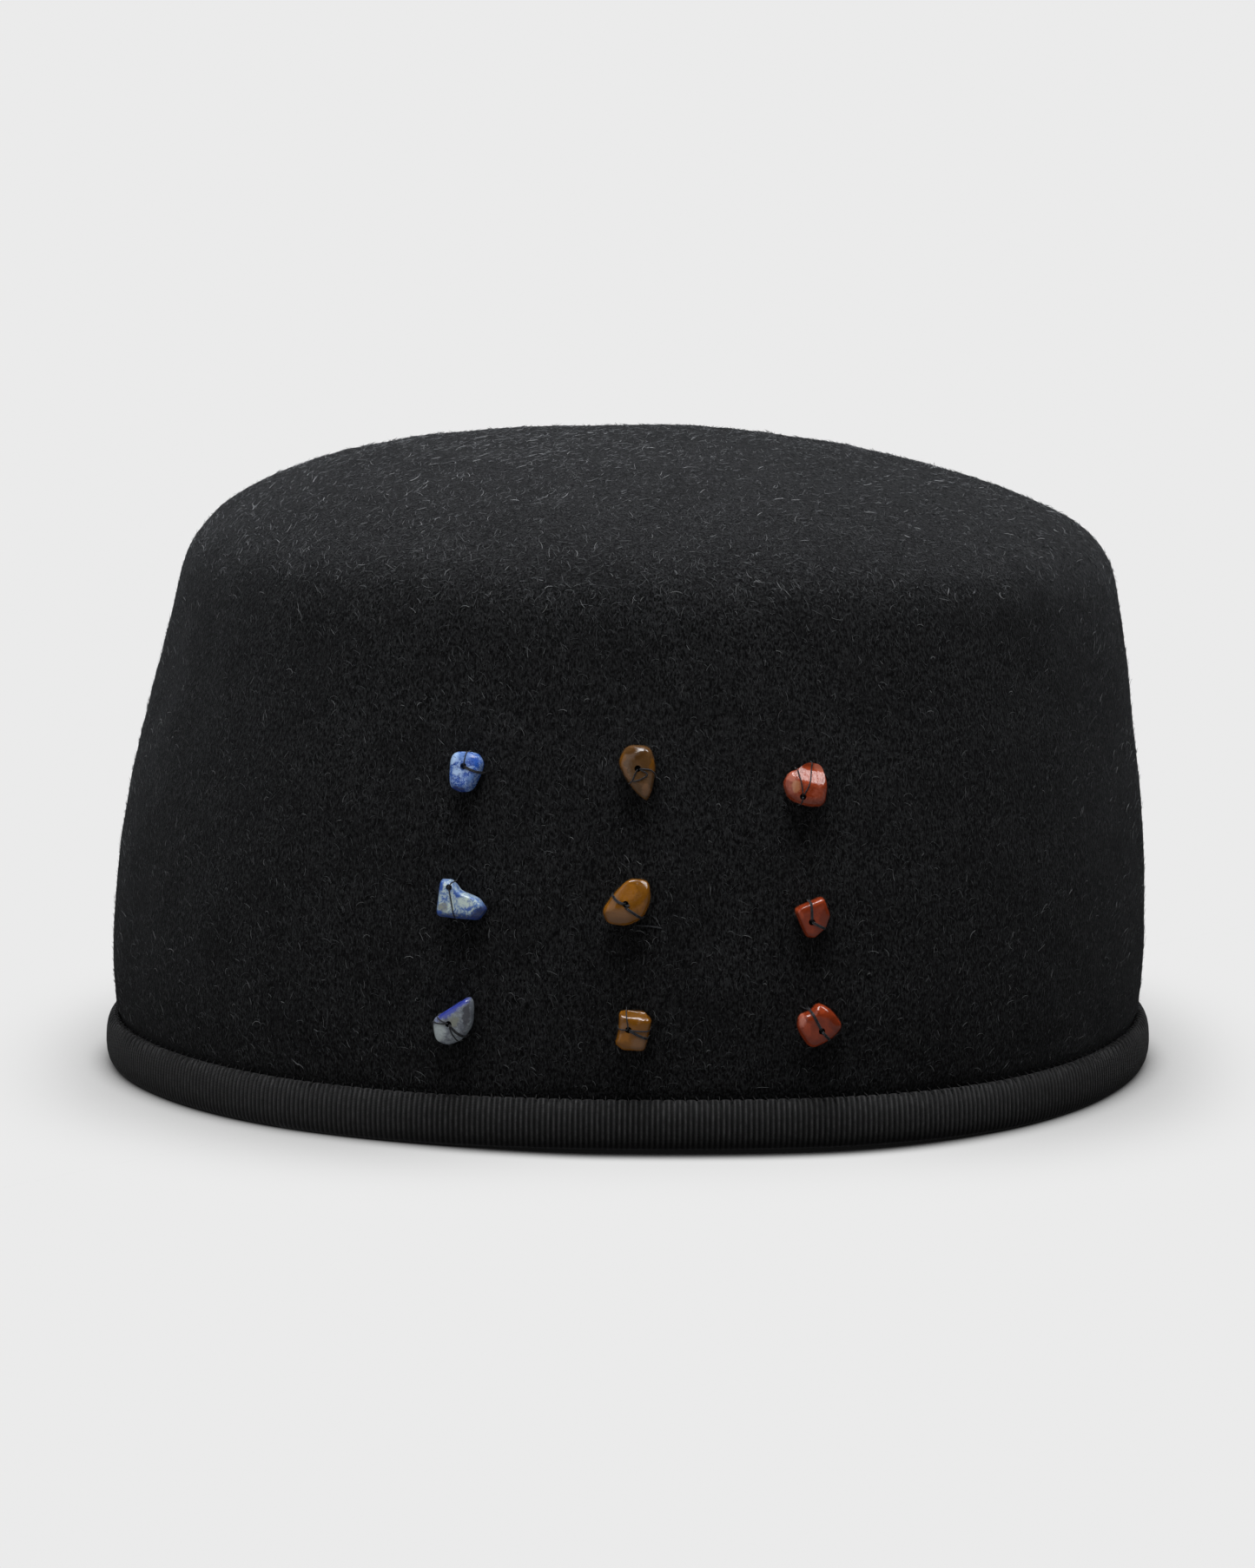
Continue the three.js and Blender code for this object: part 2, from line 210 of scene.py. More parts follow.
# The chips: their sizes repeat the part's source. A facet is (direction in degrees, start, slope):
# past its start, in mm from the middle, the front falls away at that slope. A patch is
# (across, up, radius, stretch, turn in degrees, colour), and a thread (strands, waypoints...), all
# in mm from the chip's middle as seen from outside. A thread sewn over the chip ends in the felt
# at its edge; a loose end lies on the felt. Rounding and bevel are given where they aren't usual.
CHIPS = [
    dict(
        name="stone_blue_1", column=-1, row=1, aside=0.054, above=0.013,
        thick=0.5, lean=(0.03, -0.04), hole=(-0.04, 0.24),
        corners=[
            (-0.76, 0.9), (-0.78, -0.7), (-0.3, -0.97), (0.3, -0.9), (0.68, -0.1),
            (0.8, 0.45), (0.5, 0.9),
        ],
        base=BLUE, vein=BLUE_WHITE_AND_HIGHLIGHT, deep=BLUE_DEEP_AND_SHADE, veins=0.55, grain=0.9, wisps=0.62, roughness=0.26,
        facets=[(100, 2.4, 0.6), (170, 2.3, 0.5), (290, 2.6, 0.6)],
        patches=[
            # The deep blue patch at the lower edge is partly the stone's dark blue and partly painted
            # shade.
            (1.8, 1.9, 1.0, 1.0, 0, BLUE), (-1.0, -3.3, 0.6, 3.0, 0, BLUE_DEEP_AND_SHADE),
            # The pale patch at the upper left is partly white stone and partly a painted highlight; the
            # one in the middle is white vein.
            (-2.3, 2.3, 0.9, 1.8, 45, BLUE_WHITE_AND_HIGHLIGHT), (-1.2, -0.2, 0.6, 1.8, 10, BLUE_WHITE_AND_HIGHLIGHT),
            (1.2, -1.2, 0.5, 2.4, 60, BLUE_MILKY), (-0.2, 2.6, 0.8, 2.0, 0, BLUE_MILKY),
        ],
        threads=[
            (1, "hole", (0.0, 1.9), (0.1, 3.2), (0.12, 4.4)),
            (2, "hole", (1.0, 0.45), (2.5, -0.05), (3.6, -0.3)),
        ],
    ),
    dict(
        name="stone_brown_1", column=0, row=1, aside=0.027, above=0.04,
        thick=0.54, lean=(0.02, 0.05), hole=(0.04, 0.16),
        corners=[
            (-0.5, 1.25), (-0.9, 0.45), (-0.55, -0.3), (-0.05, -0.95), (0.45, -1.36),
            (0.7, -0.8), (0.86, 0.3), (0.6, 1.2),
        ],
        base=BROWN, vein=BROWN_PALE, deep=BROWN_DARK, veins=0.25, grain=0.5, wisps=0.1, roughness=0.13,
        facets=[(188, 1.0, 0.2), (112, 3.2, 0.9), (58, 3.9, 0.95), (262, 2.7, 0.4)],
        patches=[
            (-3.0, 1.9, 0.9, 2.2, 75, AMBER_DARK), (-1.9, -0.2, 0.5, 3.4, 120, BROWN_PALE),
            (0.0, 3.5, 1.1, 2.0, 0, BROWN_DARK), (1.8, -3.2, 0.8, 1.6, 110, BROWN_PALE),
            (2.9, 1.0, 0.6, 3.0, 85, AMBER_DARK),
        ],
        threads=[
            (1, "hole", (2.3, -0.38), (0.6, -1.4), (-0.9, -1.8)),
            (1, "hole", (-0.5, -0.7), (-0.9, -1.8), (-2.4, -2.6)),
        ],
        loose=[
            (1, "hole", (2.4, 0.5), (3.2, -0.13), (3.6, -1.8)),
        ],
    ),
    dict(
        name="stone_red_1", column=1, row=1, aside=-0.016, above=-0.081,
        thick=0.52, lean=(0.04, -0.05), hole=(-0.18, -0.47),
        corners=[
            (-0.3, 0.8), (-0.75, 0.65), (-1.05, 0.15), (-0.8, -0.6), (0.1, -0.95),
            (0.85, -0.95), (1.05, 0.0), (0.8, 0.95), (0.15, 1.1),
        ],
        base=RED, vein=RED_PINK_AND_HIGHLIGHT, deep=RED_DARK, veins=0.25, grain=0.6, wisps=0.15, roughness=0.13,
        facets=[(73, 0.5, 0.68), (160, 1.9, 0.5), (8, 3.1, 0.6)],
        patches=[
            (1.2, 2.0, 1.8, 1.3, 0, RED_BRIGHT), (-2.0, 0.0, 0.9, 1.5, 100, PEACH),
            # The pink patch at the upper left is partly pink stone and partly a painted highlight.
            (-2.6, 1.8, 0.8, 1.4, 50, RED_PINK_AND_HIGHLIGHT), (2.7, 3.2, 0.7, 2.0, 130, RED_PINK_AND_HIGHLIGHT),
        ],
        threads=[
            (1, "hole", (-0.95, 0.6), (-1.41, 3.08), (-1.7, 4.4)),
            (1, "hole", (0.7, 0.6), (1.35, 3.6), (1.5, 5.2)),
            (1, "hole", (-0.9, -2.8), (-1.1, -4.0)),
        ],
    ),
    dict(
        name="stone_blue_2", column=-1, row=0, aside=0.025, above=0.0,
        thick=0.48, lean=(-0.04, 0.02), hole=(-0.5, 0.58),
        corners=[
            (-1.0, 0.92), (-1.18, -0.8), (0.1, -0.88), (0.85, -0.9), (1.2, -0.4), (0.8, 0.1),
            (-0.1, 0.42), (-0.5, 0.92),
        ],
        base=BLUE_MILKY, vein=CREAM, deep=BLUE, veins=0.75, grain=0.9, wisps=0.65, roughness=0.3,
        rounding=0.2, bevel=0.7,
        facets=[(35, 2.2, 0.4), (268, 2.5, 1.0), (330, 3.5, 0.7)],
        patches=[
            (-3.8, 2.5, 0.8, 1.5, 90, BLUE), (-4.0, -2.4, 0.6, 2.0, 0, BLUE),
            (0.0, 0.6, 0.45, 3.4, 135, BLUE), (1.9, -1.3, 0.45, 2.0, 20, BLUE),
            (-3.1, -1.3, 0.9, 1.3, 0, YELLOW_GREY), (1.1, -0.2, 0.9, 1.8, 160, CREAM),
            # The deep blue patches along the lower edge and the lower right tip are partly the stone's
            # colour and partly painted shade.
            (-1.6, -1.2, 0.7, 1.6, 80, CREAM), (-0.5, -3.55, 1.1, 6.5, 1, BLUE_DEEP_AND_SHADE),
            (3.7, -2.2, 1.25, 1.6, 40, BLUE_DEEP_AND_SHADE),
        ],
        threads=[
            (1, "hole", (-1.6, 0.2), (-1.03, -2.7), (-0.9, -4.4)),
            (1, (-2.2, 2.2), (-1.8, 2.5), (-2.1, 2.1), (-1.9, 2.4)),
        ],
        loose=[
            (1, "hole", (-1.5, 3.6), (-0.51, 5.3)),
        ],
    ),
    dict(
        name="stone_brown_2", column=0, row=0, aside=-0.032, above=0.018,
        thick=0.58, lean=(0.02, 0.04), hole=(-0.04, -0.06),
        corners=[
            (0.1, 1.1), (-0.65, 0.35), (-1.15, -0.4), (-0.9, -1.0), (0.0, -1.12),
            (0.75, -0.75), (1.12, 0.1), (1.0, 1.0),
        ],
        base=AMBER_DARK, vein=AMBER, deep=BROWN, veins=0.4, grain=0.45, wisps=0.1, roughness=0.12,
        facets=[(98, -0.5, 0.26), (75, 1.9, 0.6), (142, 1.5, 0.6), (60, 3.12, 1.05), (88, 3.2, 0.86)],
        patches=[
            (-1.3, -2.5, 1.8, 1.5, 10, BROWN_PALE), (0.0, 2.0, 1.6, 1.4, 40, AMBER),
            (-3.9, -1.0, 0.6, 2.4, 60, AMBER), (3.0, -1.2, 0.8, 2.0, 60, AMBER),
            (2.4, 1.6, 0.9, 1.4, 60, AMBER_DARK),
        ],
        threads=[
            (2, (-4.3, 3.0), (-3.2, 2.05), (-1.6, 0.1), (-0.16, -0.3)),
            (2, (-0.13, -0.9), (1.3, -1.9), (2.56, -2.8), (3.6, -3.4)),
            (1, (-0.4, -1.0), (0.5, -0.55), (0.6, -0.4), (-0.3, -0.5)),
        ],
        loose=[
            (1, (1.54, -4.6), (4.0, -4.7), (6.67, -5.1)),
        ],
    ),
    dict(
        name="stone_red_2", column=1, row=0, aside=0.025, above=-0.118,
        thick=0.46, lean=(0.03, 0.03), hole=(-0.07, -0.18),
        corners=[
            (-0.85, 0.42), (-0.28, -0.9), (0.1, -0.94), (0.62, -0.5), (0.84, 0.1), (0.52, 0.98),
        ],
        base=RED, vein=RED_BRIGHT, deep=RED_DARK, veins=0.3, grain=0.7, wisps=0.12, roughness=0.14,
        rounding=0.18, bevel=0.5,
        facets=[(110, 2.4, 0.7), (200, 2.6, 0.6), (300, 2.6, 0.5)],
        patches=[
            (2.2, 0.3, 1.2, 1.6, 70, RED_DARK), (-2.6, 1.0, 0.5, 3.0, 115, RED_BRIGHT),
            (1.0, 2.7, 0.5, 3.0, 20, RED_BRIGHT),
        ],
        threads=[
            (2, "hole", (-0.3, 0.9), (-0.38, 2.44), (-0.45, 3.6)),
            (2, "hole", (0.9, -1.4), (2.18, -2.05), (3.4, -2.7)),
        ],
    ),
    dict(
        name="stone_blue_3", column=-1, row=-1, aside=-0.029, above=0.026,
        thick=0.5, lean=(-0.03, 0.05), hole=(-0.08, -0.08),
        corners=[
            (0.8, 1.22), (-0.35, 0.45), (-0.95, 0.05), (-0.8, -0.95), (-0.2, -1.16),
            (0.5, -0.85), (0.95, -0.2), (1.0, 0.9),
        ],
        base=GREY_STONE, vein=GREY_PALE, deep=GREY_DARK, veins=0.3, grain=0.7, wisps=0.25, roughness=0.2,
        facets=[(124, 1.3, 0.6), (352, 2.3, 0.5), (225, 2.9, 0.3)],
        patches=[
            (0.7, 0.2, 0.9, 1.4, 60, YELLOW_GREY), (-2.5, -2.2, 1.5, 1.6, 60, GREY_PALE),
            (3.0, 1.4, 0.7, 4.0, 84, GREY_DARK), (0.3, 2.5, 0.95, 4.4, 36, BLUE_VIOLET),
        ],
        threads=[
            (1, "hole", (-2.0, -0.25), (-3.6, -0.13), (-5.0, -0.2)),
            (1, "hole", (-1.7, 0.3), (-2.8, 0.95), (-4.0, 1.7)),
            (2, "hole", (0.8, -1.6), (2.18, -2.6), (3.8, -3.5)),
            (1, "hole", (0.2, -1.9), (1.03, -3.2), (1.8, -4.8)),
        ],
    ),
    dict(
        name="stone_brown_3", column=0, row=-1, aside=0.006, above=-0.013,
        thick=0.48, lean=(0.03, -0.03), hole=(-0.22, 0.1),
        corners=[
            (-0.66, 0.92), (-0.7, 0.0), (-0.86, -0.6), (-0.5, -0.9), (0.52, -0.94),
            (0.72, -0.1), (0.84, 0.5), (0.45, 0.9),
        ],
        base=AMBER_DARK, vein=AMBER, deep=BROWN, veins=0.35, grain=0.5, wisps=0.1, roughness=0.14,
        rounding=0.22, bevel=0.6,
        facets=[(82, 2.35, 1.6), (250, 2.8, 0.5), (160, 2.5, 0.2)],
        patches=[
            (1.5, -2.2, 1.5, 1.4, 10, BROWN_PALE), (-1.6, -1.0, 0.9, 1.6, 60, AMBER),
            (-1.6, 1.0, 0.8, 1.4, 60, BROWN_PALE), (1.8, 1.5, 0.8, 1.6, 0, AMBER_DARK),
        ],
        threads=[
            (1, "hole", (-1.05, 1.6), (-1.28, 3.08), (-1.4, 4.6)),
            (1, "hole", (-1.9, 0.45), (-2.8, 0.55), (-4.2, 0.7)),
            (1, "hole", (1.0, 0.2), (2.82, 0.2), (4.4, 0.25)),
            (2, "hole", (0.8, -0.55), (2.44, -1.2), (4.0, -1.8)),
        ],
    ),
    dict(
        name="stone_red_3", column=1, row=-1, aside=0.065, above=0.009,
        thick=0.52, lean=(0.04, 0.02), hole=(0.06, -0.16),
        corners=[
            (-0.4, 0.72), (-0.95, 0.55), (-1.04, -0.1), (-0.4, -1.08), (0.6, -0.6),
            (1.14, 0.0), (0.6, 0.75), (-0.02, 1.12),
        ],
        base=RED, vein=RED_BRIGHT, deep=RED_DARK, veins=0.3, grain=0.6, wisps=0.12, roughness=0.13,
        facets=[(80, 2.6, 0.8), (165, 2.6, 0.6), (35, 2.7, 0.5)],
        patches=[
            (-2.4, -0.4, 0.9, 1.8, 100, RED_BRIGHT), (2.6, 0.6, 1.2, 1.6, 130, RED_DARK),
            # The pink patch at the left edge is partly pink stone and partly a painted highlight.
            (-3.2, 1.4, 0.6, 2.0, 80, RED_PINK_AND_HIGHLIGHT), (0.4, 3.4, 0.7, 1.6, 0, RED_BRIGHT),
        ],
        threads=[
            (2, "hole", (-0.7, 1.2), (-1.6, 2.9), (-2.3, 4.2)),
            (2, "hole", (1.1, -1.7), (1.8, -2.44), (2.8, -3.6)),
        ],
        loose=[
            (1, (-1.4, 2.6), (-1.7, 3.0), (-2.4, 2.9), (-3.2, 3.6)),
        ],
    ),
]

# The camera of the photograph, in mm from the rim's middle: how far off, how high it looks, and
# its rise in degrees; the lens is in mm for a 36 mm sensor along the longer side.
CAMERA_DISTANCE = 1400.0
CAMERA_TARGET_HEIGHT = 53.4
CAMERA_RISE = 10.0
CAMERA_LENS = 166.05

# How light the floor and backdrop look, and which share of that the floor gives to gloss and throws
# back; the backdrop's own light by height, and which share of it the gloss shows.
BACKDROP_LEVEL = 0.83
BOUNCE_LEVEL = 0.34
GLOSS_LEVEL = 0.34
SKY_LOW = 0.12
SKY_HIGH = 0.9
SKY_GLOSS = 0.3

# The floor and its painted shadow, in m. Where the cap's rim faces the camera the painted shadow is a dark
# core; it turns softer past these distances beside the middle and behind the front, and ends at the sides.
FLOOR_HALF = 12.0
FLOOR_GAP = 0.0001
CONTACT_REACH = 0.009
CONTACT_LEVEL = 0.007
SHADE_REACH = 0.05
SHADE_ENDS = (0.098, 0.13)
FLANK_MIDDLE = 0.015
FLANK_SIDES = (0.02, 0.08)
FLANK_BACK = (-0.06, -0.02)

# The lamps, and the height in m at which they aim
LAMP_TARGET_HEIGHT = 0.07
LAMPS = [
    # name, place in m, side of the square in m, power in W, tint
    ("overhead", (-0.03, -0.37, 1.08), 0.45, 9.3, (0.99, 1.0, 1.01)),
    ("above", (0.0, 0.0, 1.15), 0.6, 4.8, (0.98, 0.99, 1.03)),
    ("behind", (0.0, 0.55, 0.95), 0.5, 8.8, (0.97, 0.99, 1.05)),
    ("left", (-0.8, -0.75, 0.5), 1.4, 4.9, (1, 1, 1)),
    ("right", (0.62, -0.13, 1.1), 0.38, 4.2, (1, 1, 1)),
]

rim_low, rim_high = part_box("ribbon_binding")
RIM_CENTRE = np.array([(rim_low.x + rim_high.x) / 2, (rim_low.y + rim_high.y) / 2, 0.0]) / MM


# The felt's surface

def section_share(column, place):
    """A smooth curve through one column of the section table, at an array of places."""
    values = SECTIONS[:, SECTION_COLUMNS.index(column)]
    beyond = values[-2] if column == "height" else -values[-2]
    padded = np.concatenate(([2 * values[0] - values[1]], values, [beyond]))
    index = np.clip(np.floor(place).astype(int), 0, LAST_SECTION - 1)
    u = place - index
    a, b, c, d = (padded[index + step] for step in range(4))
    bend = 2 * a - 5 * b + 4 * c - d
    twist = 3 * b - a - 3 * c + d
    return 0.5 * (2 * b + (c - a) * u + bend * u * u + twist * u * u * u)


def felt_point(place, angle):
    """Points of the felt's outside, at places in the section table and angles from the back."""
    place, angle = np.broadcast_arrays(np.asarray(place, float), np.asarray(angle, float))
    height = FELT_EDGE + (CAP_HEIGHT - FELT_EDGE) * section_share("height", place)
    side = section_share("side", place)
    widest = WIDEST_SHIFT * side
    along, across = np.cos(angle), np.sin(angle)
    to_front = along < 0
    share = np.where(to_front, section_share("front", place), section_share("back", place))
    reach = RIM_LENGTH / 2 * share + np.where(to_front, widest, -widest)
    fullness = np.where(to_front, FRONT_FULLNESS, BACK_FULLNESS)
    oval = 1 + fullness * 4 * across**4 * along**2
    x = widest + reach * oval * along
    y = RIM_WIDTH / 2 * side * oval * across
    return np.stack((x, y, height), axis=-1) + RIM_CENTRE


def felt_frame(place, angle):
    """Steps along the surface per unit of angle and of place, and the unit normal."""
    step = 0.001
    around = (felt_point(place, angle + step) - felt_point(place, angle - step)) / (2 * step)
    up = (felt_point(place + step, angle) - felt_point(place - step, angle)) / (2 * step)
    return around, up, unit(np.cross(around, up))


def rim_outward(angles):
    """Level unit vectors that point out from the rim."""
    outward = felt_frame(0.0, angles)[2]
    outward[:, 2] = 0
    return unit(outward)


def way_along(points):
    """The way along a line of points, from its first to each of them."""
    return np.concatenate(([0.0], np.cumsum(np.linalg.norm(np.diff(points, axis=0), axis=1))))


def unit(vectors):
    return vectors / np.maximum(np.linalg.norm(vectors, axis=-1, keepdims=True), 1e-9)


def even_places(count, angle, first=0.0, last=LAST_SECTION - 0.02):
    """Places an equal way apart along the surface."""
    places = np.linspace(first, last, 800)
    way = way_along(felt_point(places, angle))
    return np.interp(np.linspace(0, way[-1], count), way, places)


def even_angles(count):
    """Angles an equal way apart round the rim, and the rim's length."""
    angles = np.linspace(0, FULL_TURN, RIM_SAMPLES + 1)
    way = way_along(felt_point(0.0, angles))
    return np.interp(np.arange(count) * way[-1] / count, way, angles), way[-1]


def soft_waves(points, size, seed, count=20):
    """Smooth random waves, about -1 to 1, with bumps about size mm across."""
    rng = np.random.default_rng(seed)
    directions = unit(rng.normal(size=(count, 3)))
    lengths = 2 * size * rng.uniform(0.7, 1.5, count)
    phases = rng.uniform(0, FULL_TURN, count)
    return np.sin(FULL_TURN * (points @ directions.T) / lengths + phases).sum(-1) / count**0.5


def smooth_step(value, low, high):
    t = np.clip((value - low) / (high - low), 0, 1)
    return t * t * (3 - 2 * t)


# Meshes

def link(thing):
    scene.collection.objects.link(thing)
    return thing


def add_attribute(mesh, name, key, values):
    """Gives each point of a mesh a value or a vector, as the key says."""
    kind = "FLOAT" if key == "value" else "FLOAT_VECTOR"
    mesh.attributes.new(name, kind, "POINT").data.foreach_set(key, np.asarray(values).ravel())


def add_mesh(name, points, faces, material, smooth=True):
    """Makes an object of points in mm."""
    mesh = bpy.data.meshes.new(name)
    mesh.from_pydata((np.asarray(points) * MM).tolist(), [], faces)
    mesh.update()
    if smooth:
        mesh.shade_smooth()
    mesh.materials.append(material)
    return link(bpy.data.objects.new(name, mesh))


def ring_faces(rings, count, closed=False):
    """Quads between rings of count points each, as an array."""
    bands = rings if closed else rings - 1
    near = np.arange(bands)[:, None] * count
    far = (np.arange(bands)[:, None] + 1) % rings * count
    here = np.arange(count)[None, :]
    beside = (here + 1) % count
    quads = np.stack((near + here, far + here, far + beside, near + beside), axis=-1)
    return quads.reshape(-1, 4)


def capped_skin(rings, first_pole, last_pole):
    """A closed skin over rings, from one pole to another."""
    count = rings.shape[1]
    points = np.concatenate((rings.reshape(-1, 3), [first_pole], [last_pole]))
    faces = ring_faces(len(rings), count).tolist()
    first, last = len(points) - 2, len(points) - 1
    end = (len(rings) - 1) * count
    for i in range(count):
        beside = (i + 1) % count
        faces.append([first, i, beside])
        faces.append([end + i, last, end + beside])
    return points, faces


def tubes(paths, radii, sides, tilt):
    """Closed tapered tubes along many paths at once. Paths is tubes x points x 3, radii tubes x
    points, where the ends come to a point, and tilt a vector per point that turns the sides."""
    count, nodes = paths.shape[:2]
    along = unit(np.gradient(paths, axis=1))
    across = unit(np.cross(along, tilt))
    over = np.cross(across, along)
    turns = np.arange(sides) * FULL_TURN / sides
    spokes = across[:, :, None] * np.cos(turns)[:, None] + over[:, :, None] * np.sin(turns)[:, None]
    rings = paths[:, 1:-1, None] + spokes[:, 1:-1] * radii[:, 1:-1, None, None]
    body = rings.reshape(count, -1, 3)
    points = np.concatenate((body, paths[:, :1], paths[:, -1:]), axis=1)
    first = (nodes - 2) * sides
    faces = []
    for ring in range(nodes - 3):
        for i in range(sides):
            beside = (i + 1) % sides
            a, b = ring * sides + i, ring * sides + beside
            faces.append([a, b, b + sides])
            faces.append([a, b + sides, a + sides])
    for i in range(sides):
        beside = (i + 1) % sides
        faces.append([first, beside, i])
        faces.append([first + 1, first - sides + i, first - sides + beside])
    offsets = np.arange(count)[:, None, None] * points.shape[1]
    return points.reshape(-1, 3), (np.array(faces)[None] + offsets).reshape(-1, 3).tolist()


# Materials

def new_material(name, roughness, specular, sheen=0.0, sheen_tint=(1, 1, 1)):
    material = bpy.data.materials.new(name)
    material.use_nodes = True
    shader = material.node_tree.nodes["Principled BSDF"]
    for key, value in (
            ("Roughness", roughness), ("Specular IOR Level", specular), ("Sheen Weight", sheen),
            ("Sheen Roughness", 0.45), ("Sheen Tint", (*sheen_tint, 1))):
        shader.inputs[key].default_value = value
    return material, Nodes(material.node_tree), shader


class Nodes:
    """Short calls for the nodes of one material."""

    def __init__(self, tree):
        self.tree = tree

    def add(self, kind, inputs=None, **settings):
        """A new node, with values or links for its inputs."""
        node = self.tree.nodes.new(kind)
        for key, value in settings.items():
            setattr(node, key, value)
        for key, value in (inputs or {}).items():
            self.feed(node.inputs[key], value)
        return node

    def feed(self, socket, value):
        if isinstance(value, bpy.types.NodeSocket):
            self.tree.links.new(value, socket)
        else:
            socket.default_value = value

    def place(self):
        return self.add("ShaderNodeTexCoord").outputs["Object"]

    def split(self, where):
        return self.add("ShaderNodeSeparateXYZ", {0: where}).outputs

    def open_share(self, reach):
        """How open a place is to what lies nearer than the reach, from 0 to 1."""
        node = self.add("ShaderNodeAmbientOcclusion", {"Distance": reach}, samples=24)
        return node.outputs["AO"]

    def math(self, operation, a, b=0.0):
        return self.add("ShaderNodeMath", {0: a, 1: b}, operation=operation).outputs[0]

    def times(self, a, b):
        return self.math("MULTIPLY", a, b)

    def vector(self, operation, a, b):
        node = self.add("ShaderNodeVectorMath", {0: a, 1: b}, operation=operation)
        return node.outputs["Value" if operation == "LENGTH" else "Vector"]

    def noise(self, where, scale, detail=3.0, roughness=0.6, output="Fac"):
        inputs = {"Vector": where, "Scale": scale, "Detail": detail, "Roughness": roughness}
        return self.add("ShaderNodeTexNoise", inputs).outputs[output]

    def spread(self, value, low, high, to_low=0.0, to_high=1.0):
        inputs = {
            "Value": value, "From Min": low, "From Max": high, "To Min": to_low, "To Max": to_high}
        node = self.add("ShaderNodeMapRange", inputs, interpolation_type="SMOOTHSTEP")
        return node.outputs["Result"]

    def mix(self, share, a, b):
        a, b = ((*colour, 1) if isinstance(colour, tuple) else colour for colour in (a, b))
        return self.blend(share, a, b, "RGBA")

    def blend(self, share, a, b, kind="FLOAT"):
        node = self.add("ShaderNodeMix", {"Factor": share, "A": a, "B": b}, data_type=kind)
        return node.outputs["Result"]

    def cover(self, shader, colour, height, strength, distance):
        """Gives a shader its colour, and a bump from a height."""
        bump = self.add("ShaderNodeBump", {"Height": height, "Strength": strength, "Distance": distance})
        self.feed(shader.inputs["Base Color"], colour)
        self.feed(shader.inputs["Normal"], bump.outputs["Normal"])


def felt_material():
    """Dark wool felt: matted fibres, mottled and with a pale bloom at grazing angles."""
    material, nodes, shader = new_material(
        "felt", roughness=0.95, specular=0.06, sheen=0.03, sheen_tint=(0.9, 0.94, 1.0))
    place = nodes.place()
    stretched = nodes.vector("MULTIPLY", place, (1.0, 1.0, 0.42))
    matted = nodes.noise(stretched, 3000.0, roughness=0.65)
    clouds = nodes.noise(place, 90.0)
    strands = nodes.mix(nodes.spread(matted, 0.38, 0.66), *FELT_STRANDS)
    colour = nodes.mix(nodes.spread(clouds, 0.3, 0.75, 0.0, 0.45), strands, FELT_CLOUDS)
    clumps = nodes.noise(place, 1300.0, detail=2.0)
    colour = nodes.mix(nodes.spread(clumps, 0.52, 0.68, 0.0, 0.16), colour, FELT_CLUMPS[1])
    colour = nodes.mix(nodes.spread(clumps, 0.34, 0.5, 0.2, 0.0), colour, FELT_CLUMPS[0])
    height = nodes.math("ADD", matted, nodes.times(clumps, 0.25))
    nodes.cover(shader, colour, height, 0.72, 0.0004)
    return material


def fibre_material(name, colour):
    material, _, shader = new_material(name, roughness=0.7, specular=0.12)
    shader.inputs["Base Color"].default_value = (*colour, 1)
    return material


def ribbon_material():
    """Black grosgrain: the ribs are in the mesh, the fine cross threads in the bump, with painted shade in
    the rib valleys and painted light on the crests.
    """
    material, nodes, shader = new_material(
        "ribbon", roughness=0.6, specular=0.2, sheen=0.1, sheen_tint=(0.95, 0.96, 1.0))
    weave = nodes.add("ShaderNodeAttribute", attribute_name="weave").outputs["Vector"]
    wave = {"Vector": weave, "Scale": 0.314 / 0.24, "Distortion": 1.2, "Detail": 2.0}
    threads = nodes.add("ShaderNodeTexWave", wave, bands_direction="Y").outputs["Fac"]
    lint = nodes.noise(nodes.place(), 900.0, detail=4.0, roughness=0.7)
    # Each point's height on its rib paints its colour: painted shade in the valleys, painted light on the
    # crests.
    ridge = nodes.add("ShaderNodeAttribute", attribute_name="ridge").outputs["Fac"]
    worn = nodes.mix(nodes.spread(lint, 0.35, 0.75), *RIB_CREST_LIT)
    crossed = nodes.mix(nodes.times(threads, 0.4), worn, RIB_CROSSED)
    colour = nodes.mix(nodes.math("POWER", ridge, 2.6), RIB_VALLEY_SHADE, crossed)
    height = nodes.math("ADD", threads, nodes.times(lint, 0.6))
    nodes.cover(shader, colour, height, 0.5, 0.00012)
    return material


def thread_material(name, dark, light):
    material, nodes, shader = new_material(name, roughness=0.6, specular=0.25, sheen=0.1)
    twist = nodes.noise(nodes.place(), 2500.0, detail=2.0)
    colour = nodes.mix(nodes.spread(twist, 0.35, 0.65), dark, light)
    nodes.cover(shader, colour, twist, 0.4, 0.0001)
    return material


